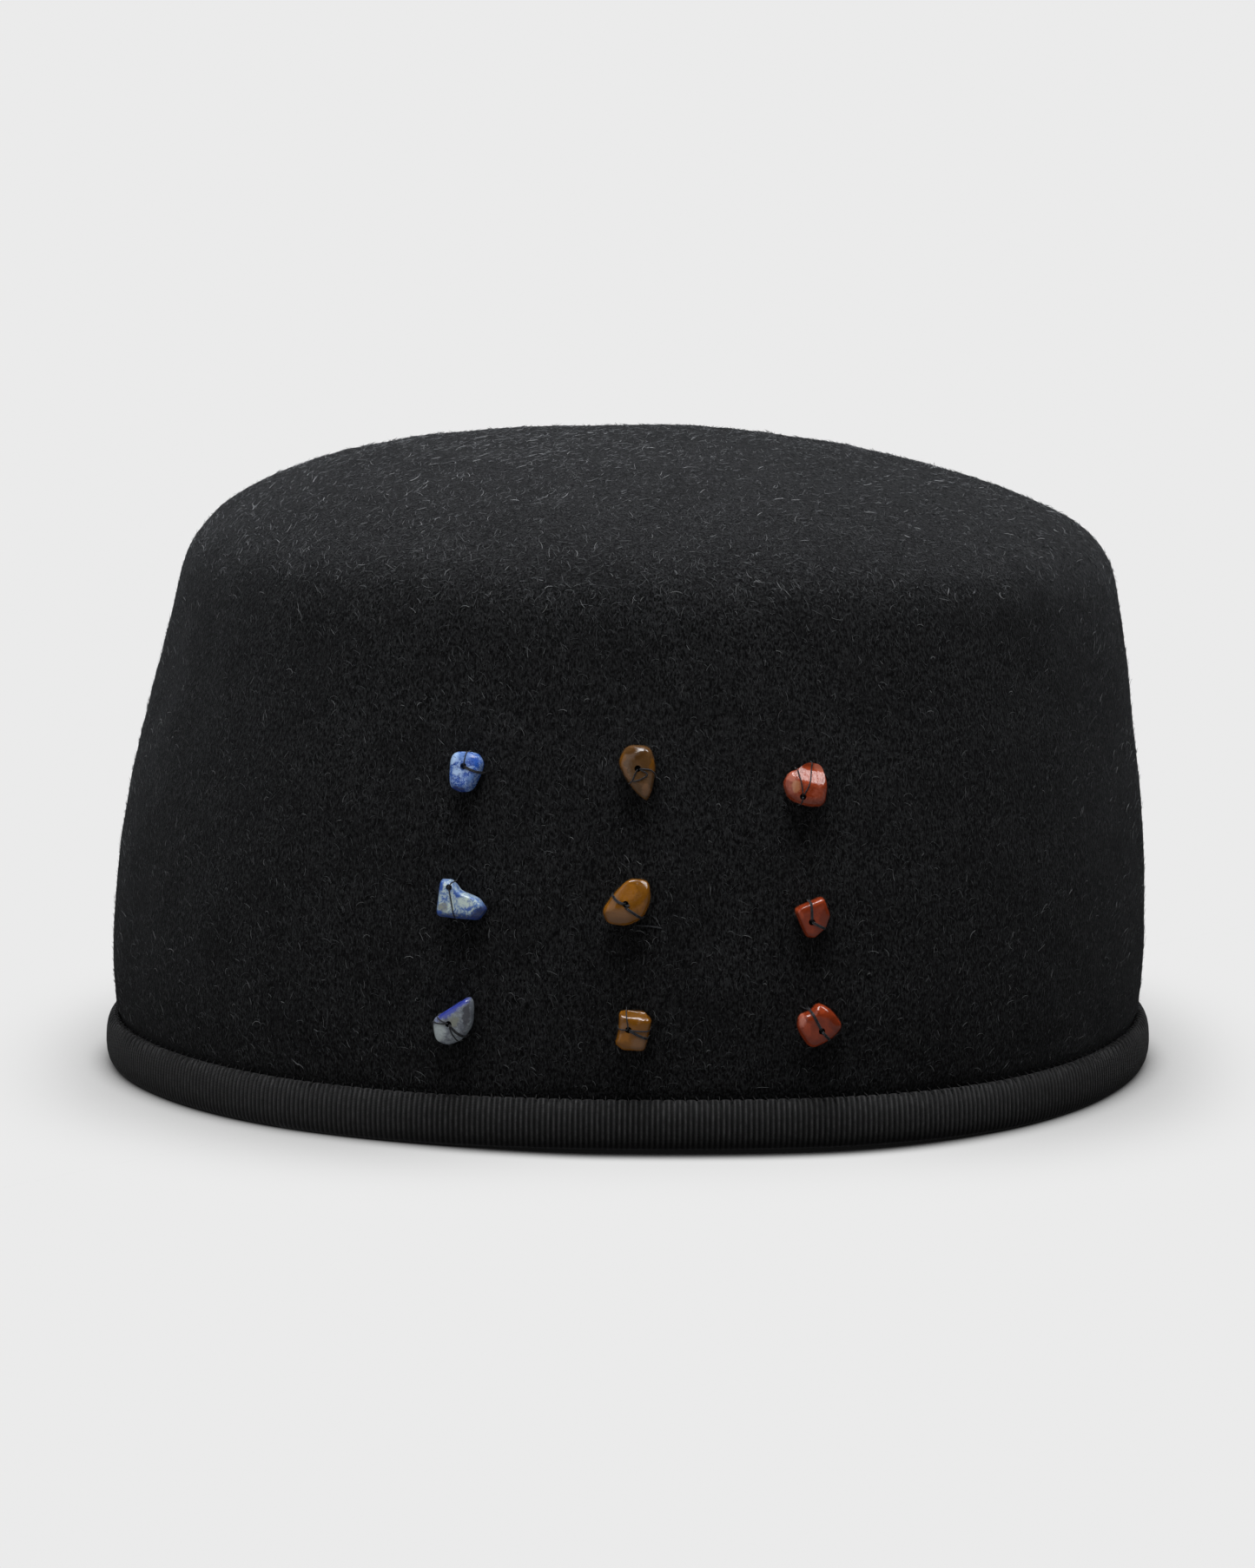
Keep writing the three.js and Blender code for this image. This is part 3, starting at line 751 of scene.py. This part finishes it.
def stone_material(chip):
    """A polished stone: veins warped by noise, and soft patches of colour at their own places."""
    material, nodes, shader = new_material(chip["name"], chip["roughness"], specular=0.5)
    where = nodes.add("ShaderNodeAttribute", attribute_name="chip_place").outputs["Vector"]
    warp = nodes.noise(where, 0.9, detail=4.0, output="Color")
    push = nodes.vector("MULTIPLY", nodes.vector("SUBTRACT", warp, (0.5, 0.5, 0.5)), (1.6, 1.6, 1.6))
    warped = nodes.vector("ADD", where, push)
    seeded = nodes.vector("ADD", warped, (7.0 * chip["column"], 5.0 * chip["row"], 3.0))
    veins = nodes.noise(seeded, chip["grain"], detail=6.0, roughness=0.62)
    colour = nodes.mix(
        nodes.spread(veins, 0.44, 0.62, 0.0, chip["veins"]), chip["base"], chip["vein"])
    fine = nodes.noise(seeded, 2.2, detail=5.0, roughness=0.65)
    colour = nodes.mix(nodes.spread(fine, 0.5, 0.61, 0.0, chip["wisps"]), colour, chip["vein"])
    for across, up, radius, stretch, turn, tint in chip["patches"]:
        moved = nodes.vector("SUBTRACT", warped, (across, up, 0.0))
        turning = {"Vector": moved, "Angle": -math.radians(turn)}
        turned = nodes.add("ShaderNodeVectorRotate", turning, rotation_type="Z_AXIS").outputs[0]
        shares = (1 / (radius * stretch), 1 / radius, 0.0)
        far = nodes.vector("LENGTH", nodes.vector("MULTIPLY", turned, shares), (0, 0, 0))
        colour = nodes.mix(nodes.spread(far, 0.6, 1.15, 0.9, 0.0), colour, tint)
    colour = nodes.mix(nodes.spread(fine, 0.36, 0.48, chip["wisps"], 0.0), colour, chip["deep"])
    nodes.cover(shader, colour, nodes.noise(where, 1.4), 0.25, 0.0002)
    return material


# The felt crown

def felt_sink(points):
    """How far the felt lies below its plain form: soft unevenness, and the seam's pinch."""
    height = points[..., 2]
    uneven = 0.13 * soft_waves(points, 9.0, 11) + 0.05 * soft_waves(points, 2.6, 12)
    clear = smooth_step(height, BINDING_HEIGHT, BINDING_HEIGHT + 4.0)
    seam = BINDING_HEIGHT + 0.2
    pinch = SEAM_PINCH * (1 - smooth_step(height, seam, seam + SEAM_REACH))
    return pinch - uneven * clear


def felt_crown():
    angles = np.arange(CROWN_STEPS) * FULL_TURN / CROWN_STEPS
    places = even_places(CROWN_RINGS, LEFT_SIDE)[::-1]
    outside = felt_point(places[:, None], angles)
    normals = felt_frame(places[:, None], angles)[2]
    outside = outside - normals * felt_sink(outside)[..., None]
    inner_places = even_places(CROWN_INSIDE_RINGS, LEFT_SIDE, last=LAST_SECTION - 0.3)
    inside = felt_point(inner_places[:, None], angles)
    inside = inside - felt_frame(inner_places[:, None], angles)[2] * FELT_WALL
    inside[0, :, 2] = FELT_EDGE
    top = RIM_CENTRE + (0, 0, CAP_HEIGHT)
    ceiling = top - (0, 0, FELT_WALL)
    points, faces = capped_skin(np.concatenate((outside, inside)), top, ceiling)
    piece = add_mesh("felt_crown", points, faces, felt_material())
    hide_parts("crown")
    return piece


# The nap: fibres that lie on the felt, mostly upright on the sides and curled on the top

def nap_starts(count, seed):
    """Places and angles spread evenly over the felt above the binding."""
    rng = np.random.default_rng(seed)
    tries = count * 4
    table = even_places(400, LEFT_SIDE, first=1.0)
    place = np.interp(rng.uniform(0, 399, tries), np.arange(400), table)
    angle = rng.uniform(0, FULL_TURN, tries)
    around, up, _ = felt_frame(place, angle)
    slope = np.interp(place, table, np.gradient(table))
    area = np.linalg.norm(around, axis=-1) * np.linalg.norm(up, axis=-1) * slope
    kept = rng.uniform(0, np.percentile(area, 99), tries) < area
    return place[kept][:count], angle[kept][:count]


def nap_piece(name, count, nodes, length, lift, curl, radius, lowest, tint, seed):
    rng = np.random.default_rng(seed)
    place, angle = nap_starts(count, seed + 1)
    count = len(place)
    normal = felt_frame(place, angle)[2]
    topness = smooth_step(normal[:, 2], 0.2, 0.65)
    heading = np.radians(90 + rng.normal(size=count) * (32 + 60 * topness))
    step = rng.uniform(*length, count) / (nodes - 1)
    rise = rng.uniform(*lift, count) * (0.5 + 0.5 * rng.uniform(size=count))
    bend = np.radians(curl) * rng.normal(size=count)
    paths, normals = [], []
    for node in range(nodes):
        around, up, normal = felt_frame(place, angle)
        share = node / (nodes - 1)
        point = felt_point(place, angle)
        off = rise * share ** 1.5 - 0.05 - felt_sink(point)
        paths.append(point + normal * off[:, None])
        normals.append(normal)
        angle = angle + step * np.cos(heading) / np.linalg.norm(around, axis=-1)
        place = place + step * np.sin(heading) / np.linalg.norm(up, axis=-1)
        place = np.clip(place, 0.3, LAST_SECTION - 0.03)
        heading = heading + bend
    paths = np.stack(paths, axis=1)
    normals = np.stack(normals, axis=1)
    kept = paths[:, :, 2].min(axis=1) > lowest
    for matrix in chip_matrices.values():
        centre = np.array(matrix.translation)
        kept &= np.linalg.norm(paths - centre, axis=-1).min(axis=1) > 3.4
    paths, normals = paths[kept], normals[kept]
    thickness = radius * rng.uniform(0.7, 1.3, count) * (1 + NAP_TOP_GAIN * topness)
    radii = np.repeat(thickness[kept, None], nodes, axis=1)
    points, faces = tubes(paths, radii, 3, normals)
    piece = add_mesh(name, points, faces, fibre_material(name, tint), smooth=False)
    return piece


# The ribbon binding and its stitches

def ribbon():
    count_of_ribs = round(even_angles(4)[1] / RIB_PITCH)
    steps = count_of_ribs * STEPS_PER_RIB
    angles, rim_length = even_angles(steps)
    rim = felt_point(0.0, angles)
    outward = rim_outward(angles)
    way = np.arange(steps) / steps * rim_length
    crest = np.abs(np.sin(math.pi * np.arange(steps) / STEPS_PER_RIB)) ** 2
    ridge = RIB_HEIGHT * (crest - 0.5)
    uneven = 0.1 * soft_waves(rim, 12.0, 21)
    stitch = (way / STITCH_PITCH) % 1.0
    notch = np.exp(-(((stitch - 0.5) / 0.16) ** 2))
    profile = [(out * BINDING_BULGE, up, ribs) for up, out, ribs in BINDING_PROFILE]
    profile += [(-FELT_WALL - out * BINDING_BULGE, up, ribs) for up, out, ribs in INSIDE_PROFILE]
    profile += [(-FELT_WALL - SEAT_GAP / 2, 0.97, 0), (-FELT_WALL - SEAT_GAP / 2, 0.1, 0)]
    profile += [(SEAT_GAP / 2, 0.1, 0), (SEAT_GAP / 2 - SEAM_PINCH, 0.97, 0)]
    rings, weave, rib_light_shares = [], [], []
    down = 0.0
    last = None
    for out, up, ribs in profile:
        side = 1 if out > -FELT_WALL / 2 else -1
        near_edge = smooth_step(np.array(up), 0.8, 1.0)
        height = up * BINDING_HEIGHT - near_edge * (NOTCH_DEPTH * notch + 0.12 * uneven)
        bulge = out + side * ribs * (ridge + uneven * 0.6) - side * near_edge * 0.25 * notch
        if up == 0:
            height = np.zeros(steps)
        ring = rim + outward * bulge[:, None]
        ring[:, 2] = np.maximum(height, 0.0)
        rings.append(ring)
        if last is not None:
            down += math.dist(last, (out, up * BINDING_HEIGHT))
        last = (out, up * BINDING_HEIGHT)
        weave.append(np.stack((way, np.full(steps, down), np.zeros(steps)), axis=-1))
        # How lit each point of the ribbon is painted: dark in rib valleys, light on crests, middling where
        # the ribs don't show.
        rib_light_shares.append(0.45 * (1 - ribs) + ribs * crest)
    faces = ring_faces(len(rings), steps, closed=True).tolist()
    points = np.stack(rings).reshape(-1, 3)
    piece = add_mesh("ribbon", points, faces, ribbon_material())
    add_attribute(piece.data, "weave", "vector", np.stack(weave))
    add_attribute(piece.data, "ridge", "value", np.stack(rib_light_shares))
    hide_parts("ribbon_binding")
    return piece


def stitches(material):
    """One short slanting stitch over the ribbon's edge in each notch."""
    rng = np.random.default_rng(31)
    rim_length = even_angles(RIM_SAMPLES)[1]
    count = int(rim_length / STITCH_PITCH)
    ways = (np.arange(count) + 0.5) * STITCH_PITCH
    angles = np.append(even_angles(RIM_SAMPLES)[0], FULL_TURN)
    table = np.arange(RIM_SAMPLES + 1) * rim_length / RIM_SAMPLES
    route = [(-0.4, 0.7, -0.9), (-0.2, 0.35, -0.4), (0.0, 0.0, 0.35), (0.1, -0.5, 0.75), (0.2, -0.9, 0.5)]
    paths, tilts = [], []
    for along, above, out in route:
        wander = rng.normal(size=count) * 0.12
        angle = np.interp(ways + along + wander, table, angles)
        outward = rim_outward(angle)
        point = felt_point(0.0, angle) + outward * out
        point[:, 2] = BINDING_HEIGHT + above + rng.normal(size=count) * 0.06
        paths.append(point)
        tilts.append(outward)
    paths = np.stack(paths, axis=1)
    radii = np.full(paths.shape[:2], 0.09)
    points, faces = tubes(paths, radii, 5, np.stack(tilts, axis=1))
    piece = add_mesh("edge_stitches", points, faces, material)
    return piece


# The gem chips

def solve(rising, target, low, high):
    """Finds where a rising function reaches a value."""
    for _ in range(40):
        middle = (low + high) / 2
        if rising(middle) < target:
            low = middle
        else:
            high = middle
    return (low + high) / 2


def chip_matrix(chip):
    """Where a chip lies: its own x is across, y up and z outward, in mm."""
    x = MIDDLE_COLUMN + (chip["column"] + chip["aside"]) * COLUMN_PITCH + RIM_CENTRE[0]
    height = MIDDLE_ROW_HEIGHT + (chip["row"] + chip["above"]) * ROW_PITCH
    place = solve(lambda t: felt_point(t, LEFT_SIDE)[2], height, 0, LAST_SECTION)
    angle = solve(lambda t: felt_point(place, t)[0], x, math.pi, FULL_TURN)
    outward = Vector(felt_frame(place, angle)[2])
    right = Vector((0, 0, 1)).cross(outward).normalized()
    upward = outward.cross(right)
    centre = Vector(felt_point(place, angle)) + outward * SEAT_GAP
    matrix = Matrix((right, upward, outward)).transposed().to_4x4()
    matrix.translation = centre
    return matrix


def chip_outline(chip):
    """The outline's radius in mm at each of many even directions."""
    corners = [Vector(corner) for corner in chip["corners"]]
    rounding = chip.get("rounding", CORNER_ROUNDING)
    outline = []
    for index, corner in enumerate(corners):
        following = corners[(index + 1) % len(corners)]
        start = corner.lerp(corners[index - 1], rounding)
        end = corner.lerp(following, rounding)
        for share in np.linspace(0, 1, 7):
            outline.append(start.lerp(corner, share).lerp(corner.lerp(end, share), share))
        beyond = following.lerp(corner, rounding)
        for share in np.linspace(0, 1, 9)[1:-1]:
            outline.append(end.lerp(beyond, share))
    points = np.array(outline) * CHIP_SIZE / 2
    turns = np.arctan2(points[:, 1], points[:, 0]) % FULL_TURN
    order = np.argsort(turns)
    radii = np.hypot(points[:, 0], points[:, 1])[order]
    return np.interp(CHIP_TURNS, turns[order], radii, period=FULL_TURN)


def chip_section(chip):
    """The chip's section, with its rounded margin as wide as its bevel says."""
    bevel = chip.get("bevel", CHIP_BEVEL)
    return [(1 - (1 - spread) * bevel, level) for spread, level in CHIP_SECTION[1:]]


def chip_front(chip, outline, x, y):
    """The height of a chip's front face above its back, at points in mm, and how far out they
    are as a share of the outline."""
    reach = np.interp(np.arctan2(y, x) % FULL_TURN, CHIP_TURNS, outline, period=FULL_TURN)
    spread = np.hypot(x, y) / reach
    spreads, levels = zip(*chip_section(chip))
    level = np.interp(spread, spreads, levels)
    thickness = chip["thick"] * CHIP_SIZE
    lean = chip["lean"][0] * x + chip["lean"][1] * y
    height = level * thickness + np.maximum(0, 2 * level - 1) * lean
    for turn, start, slope in chip["facets"]:
        way = math.cos(math.radians(turn)) * x + math.sin(math.radians(turn)) * y
        plane = thickness + lean - slope * (way - start)
        gap = np.clip(0.5 + (plane - height) / (2 * FACET_SOFTNESS), 0, 1)
        height = gap * height + (1 - gap) * plane - gap * (1 - gap) * FACET_SOFTNESS
    return np.maximum(height, 0.5 * thickness * np.ones_like(height)), spread


def stone(chip):
    outline = chip_outline(chip)
    edge = np.stack((outline * np.cos(CHIP_TURNS), outline * np.sin(CHIP_TURNS)))
    thickness = chip["thick"] * CHIP_SIZE
    rings = []
    section = chip_section(chip)
    for spread in [*INNER_RINGS, *(spread for spread, _ in section)]:
        x, y = spread * edge
        height, _ = chip_front(chip, outline, x, y)
        rings.append(np.stack((x, y, height), axis=-1))
    for spread, level in section[-2:2:-1]:
        back = np.full(CHIP_STEPS, (1 - level) * thickness)
        rings.append(np.stack((*(spread * edge), back), axis=-1))
    middle = chip_front(chip, outline, np.array(0.0), np.array(1e-6))[0]
    points, faces = capped_skin(np.stack(rings), (0, 0, float(middle)), (0, 0, 0))
    piece = add_mesh(chip["name"] + "_stone", points, faces, stone_material(chip))
    drill_hole(piece, chip, thickness)
    mesh = piece.data
    local = np.zeros(len(mesh.vertices) * 3)
    mesh.vertices.foreach_get("co", local)
    add_attribute(mesh, "chip_place", "vector", local / MM)
    matrix = chip_matrices[chip["name"]].copy()
    matrix.translation = matrix.translation * MM
    mesh.transform(matrix)
    mesh.set_sharp_from_angle(angle=math.radians(SHARP_EDGE))
    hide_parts(chip["name"])
    return piece, outline


def drill_hole(piece, chip, thickness):
    """Cuts the thread's hole straight through."""
    drill = bmesh.new()
    bmesh.ops.create_cone(
        drill, cap_ends=True, segments=20, radius1=CHIP_HOLE / 2 * MM, radius2=CHIP_HOLE / 2 * MM,
        depth=3 * thickness * MM)
    across, up = (share * CHIP_SIZE / 2 for share in chip["hole"])
    drill.transform(Matrix.Translation(Vector((across, up, thickness / 2)) * MM))
    mesh = bpy.data.meshes.new("drill")
    drill.to_mesh(mesh)
    drill.free()
    tool = link(bpy.data.objects.new("drill", mesh))
    cut = piece.modifiers.new("hole", "BOOLEAN")
    cut.object = tool
    cut.solver = "EXACT"
    bpy.context.view_layer.update()
    drilled = bpy.data.meshes.new_from_object(piece.evaluated_get(bpy.context.evaluated_depsgraph_get()))
    piece.modifiers.clear()
    piece.data = drilled
    bpy.data.objects.remove(tool)


def thread_paths(chip, outline):
    """The strands of a chip's threads, in its own mm: out of the hole, over the front, and down
    into the felt."""
    strands = []
    hole = np.array(chip["hole"]) * CHIP_SIZE / 2
    routes = [(row, True) for row in chip["threads"]] + [(row, False) for row in chip.get("loose", [])]
    for (count, *waypoints), sewn in routes:
        x, y = smooth_route(np.array([hole if point == "hole" else point for point in waypoints]))
        if sewn:
            _, spread = chip_front(chip, outline, x, y)
            on_chip = np.flatnonzero(spread < THREAD_LEAVES)
            ways = np.linspace(on_chip[0], on_chip[-1], THREAD_NODES)
            x, y = (np.interp(ways, np.arange(len(line)), line) for line in (x, y))
        else:
            x, y = (line[:: ROUTE_STEPS // THREAD_NODES][:THREAD_NODES] for line in (x, y))
        front, spread = chip_front(chip, outline, x, y)
        drop = smooth_step(spread, 0.98, THREAD_LEAVES)
        height = front + THREAD_RADIUS * 0.8 - drop * (front + SEAT_GAP)
        for end, beside in ((0, 1), (-1, -2)):
            if math.hypot(x[end] - hole[0], y[end] - hole[1]) < CHIP_HOLE / 2:
                height[end] = front[end] / 2
                height[beside] -= THREAD_RADIUS
            elif sewn:
                height[end] = -SEAT_GAP - 3 * THREAD_RADIUS
        line = np.stack((x, y, height), axis=-1)
        side = unit(np.array((-(y[-1] - y[0]), x[-1] - x[0], 0.0)))
        for strand in range(count):
            strands.append(line + side * (strand - (count - 1) / 2) * 2.1 * THREAD_RADIUS)
    return strands


def smooth_route(waypoints):
    """A rounded line through waypoints, in many even steps."""
    ways = np.linspace(0, 1, len(waypoints))
    shares = np.linspace(0, 1, ROUTE_STEPS)
    window = ROUTE_STEPS // 4 + 1
    rounded = []
    for axis in (0, 1):
        line = np.pad(np.interp(shares, ways, waypoints[:, axis]), window // 2, mode="reflect",
                      reflect_type="odd")
        rounded.append(np.convolve(line, np.ones(window) / window, "valid"))
    return rounded


def sewing_threads(outlines, material):
    """All the threads that hold the chips, as one piece."""
    paths, tilts = [], []
    for chip in CHIPS:
        matrix = np.array(chip_matrices[chip["name"]])
        for strand in thread_paths(chip, outlines[chip["name"]]):
            paths.append(strand @ matrix[:3, :3].T + matrix[:3, 3])
            tilts.append(np.tile(matrix[:3, 2], (THREAD_NODES, 1)))
    radii = np.full((len(paths), THREAD_NODES), THREAD_RADIUS)
    points, faces = tubes(np.array(paths), radii, 8, np.array(tilts))
    piece = add_mesh("sewing_threads", points, faces, material)
    return piece


chip_matrices = {chip["name"]: chip_matrix(chip) for chip in CHIPS}
pieces = [felt_crown(), ribbon()]
for index, row in enumerate(NAP):
    pieces.append(nap_piece(*row, seed=100 + 10 * index))
outlines = {}
for chip in CHIPS:
    piece, outlines[chip["name"]] = stone(chip)
    pieces.append(piece)
pieces.append(stitches(thread_material("black_thread", *BLACK_THREAD)))
pieces.append(sewing_threads(outlines, thread_material("grey_thread", *GREY_THREAD)))
for piece in pieces:
    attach(piece, "root")


# Floor, light and camera

def studio_floor():
    """A pale glowing floor with a painted shadow: its glow darkens only close to what stands on it, most
    where the rim meets it in the middle. It throws less light back on the cap than it shows."""
    floor = bpy.data.meshes.new("floor")
    corners = [(x * FLOOR_HALF, y * FLOOR_HALF, 0) for x, y in ((-1, -1), (1, -1), (1, 1), (-1, 1))]
    floor.from_pydata(corners, [], [(0, 1, 2, 3)])
    material = bpy.data.materials.new("floor")
    material.use_nodes = True
    tree = material.node_tree
    tree.nodes.remove(tree.nodes["Principled BSDF"])
    nodes = Nodes(tree)
    place = nodes.split(nodes.place())
    # Painted shadow: the floor's glow is darkened by how open each point is and by where it lies, not by
    # the lamps.
    aside = nodes.math("ABSOLUTE", nodes.math("SUBTRACT", place["X"], FLANK_MIDDLE))
    flank = nodes.math("MAXIMUM", nodes.spread(aside, *FLANK_SIDES), nodes.spread(place["Y"], *FLANK_BACK))
    core_low = nodes.math("SUBTRACT", 0.66, nodes.times(flank, 0.56))
    core_high = nodes.math("SUBTRACT", 1.0, nodes.times(flank, 0.15))
    core = nodes.spread(nodes.open_share(CONTACT_REACH), core_low, core_high, CONTACT_LEVEL)
    soft = nodes.spread(nodes.open_share(SHADE_REACH), 0.35, 1.0, 0.5, 0.0)
    fading = nodes.spread(nodes.math("ABSOLUTE", place["X"]), *SHADE_ENDS, 1.0, 0.2)
    weight = nodes.times(nodes.blend(flank, 0.3, 1.0), fading)
    eased = nodes.math("SUBTRACT", 1.0, nodes.times(soft, weight))
    painted_floor_shade = nodes.times(nodes.times(core, eased), BACKDROP_LEVEL)
    ray = nodes.add("ShaderNodeLightPath").outputs
    glossy = nodes.blend(ray["Is Glossy Ray"], painted_floor_shade, nodes.times(painted_floor_shade, GLOSS_LEVEL))
    thrown = nodes.times(painted_floor_shade, BOUNCE_LEVEL)
    level = nodes.blend(ray["Is Diffuse Ray"], glossy, thrown)
    glow = nodes.add("ShaderNodeEmission", {"Strength": level}).outputs[0]
    nodes.feed(tree.nodes["Material Output"].inputs["Surface"], glow)
    floor.materials.append(material)
    stage = link(bpy.data.objects.new("floor", floor))
    stage.location.z = -FLOOR_GAP


def studio_light():
    """Soft light from all round, more from above, and square lamps."""
    world = bpy.data.worlds.new("studio")
    world.use_nodes = True
    scene.world = world
    nodes = Nodes(world.node_tree)
    background = world.node_tree.nodes["Background"]
    direction = nodes.split(nodes.add("ShaderNodeTexCoord").outputs["Generated"])
    glow = nodes.spread(direction["Z"], 0.0, 0.9, SKY_LOW, SKY_HIGH)
    ray = nodes.add("ShaderNodeLightPath").outputs
    lit = nodes.blend(ray["Is Glossy Ray"], glow, nodes.times(glow, SKY_GLOSS))
    strength = nodes.blend(ray["Is Camera Ray"], lit, BACKDROP_LEVEL)
    nodes.feed(background.inputs["Strength"], strength)
    for name, place, size, power, tint in LAMPS:
        lamp = bpy.data.lights.new(name, "AREA")
        lamp.shape = "SQUARE"
        lamp.size = size
        lamp.energy = power
        lamp.color = tint
        light = link(bpy.data.objects.new(name, lamp))
        light.location = place
        aim = Vector((0, 0, LAMP_TARGET_HEIGHT)) - light.location
        light.rotation_euler = aim.to_track_quat("-Z", "Y").to_euler()


def photo_camera():
    data = bpy.data.cameras.new("camera")
    data.sensor_width = 36.0
    data.lens = CAMERA_LENS
    data.clip_end = 100.0
    camera = link(bpy.data.objects.new("camera", data))
    target = Vector((RIM_CENTRE[0], RIM_CENTRE[1], CAMERA_TARGET_HEIGHT)) * MM
    rise = math.radians(CAMERA_RISE)
    away = Vector((0, -math.cos(rise), math.sin(rise))) * CAMERA_DISTANCE * MM
    camera.location = target + away
    camera.rotation_euler = (-away).to_track_quat("-Z", "Y").to_euler()
    scene.camera = camera


studio_floor()
studio_light()
photo_camera()
scene.view_settings.view_transform = "Standard"
